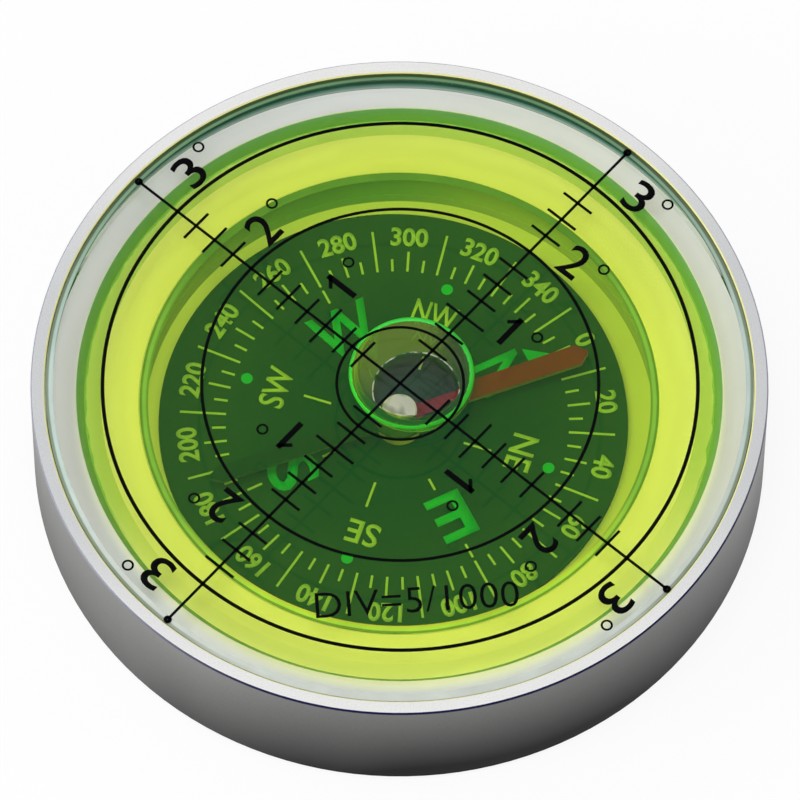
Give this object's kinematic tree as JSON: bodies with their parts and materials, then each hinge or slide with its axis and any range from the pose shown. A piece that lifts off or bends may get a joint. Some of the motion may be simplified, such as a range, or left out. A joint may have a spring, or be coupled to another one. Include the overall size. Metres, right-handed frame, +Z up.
{
  "type": "bubble level with compass",
  "caption": "Round aluminium bullseye spirit level with a clear domed vial of green liquid over a pivoted compass needle and dial.",
  "frame": {"origin": "centre of the case's flat underside", "axes": "+Z up out of the vial, +X along the reading direction of the scale note on the vial, +Y towards the top of that note"},
  "size_m": [0.06, 0.06, 0.012],
  "materials": {
    "case_aluminium": "turned and satin anodised",
    "vial_acrylic": "polished clear acrylic",
    "level_fluid": "yellow-green level liquid",
    "dial_black": "matt black card with pale print",
    "bush_brass": "turned brass",
    "pin_steel": "ground steel",
    "needle_paint": "red north half, black south half, on steel strip",
    "cap_nickel": "nickel plated brass",
    "jewel": "polished cup jewel"
  },
  "bodies": {
    "case": {"case": "case_aluminium", "vial_lens": "vial_acrylic", "vial_cup": "vial_acrylic", "level_fluid": "level_fluid", "dial_plate": "dial_black", "pivot_bush": "bush_brass", "pivot_pin": "pin_steel"},
    "needle": {"needle": "needle_paint", "needle_cap": "cap_nickel", "jewel_bearing": "jewel"}
  },
  "joints": [
    {"name": "needle_swing", "type": "hinge", "parent": "case", "child": "needle", "pos_m": [0, 0, 0.0057], "axis": [0, 0, 1], "continuous": true}
  ]
}
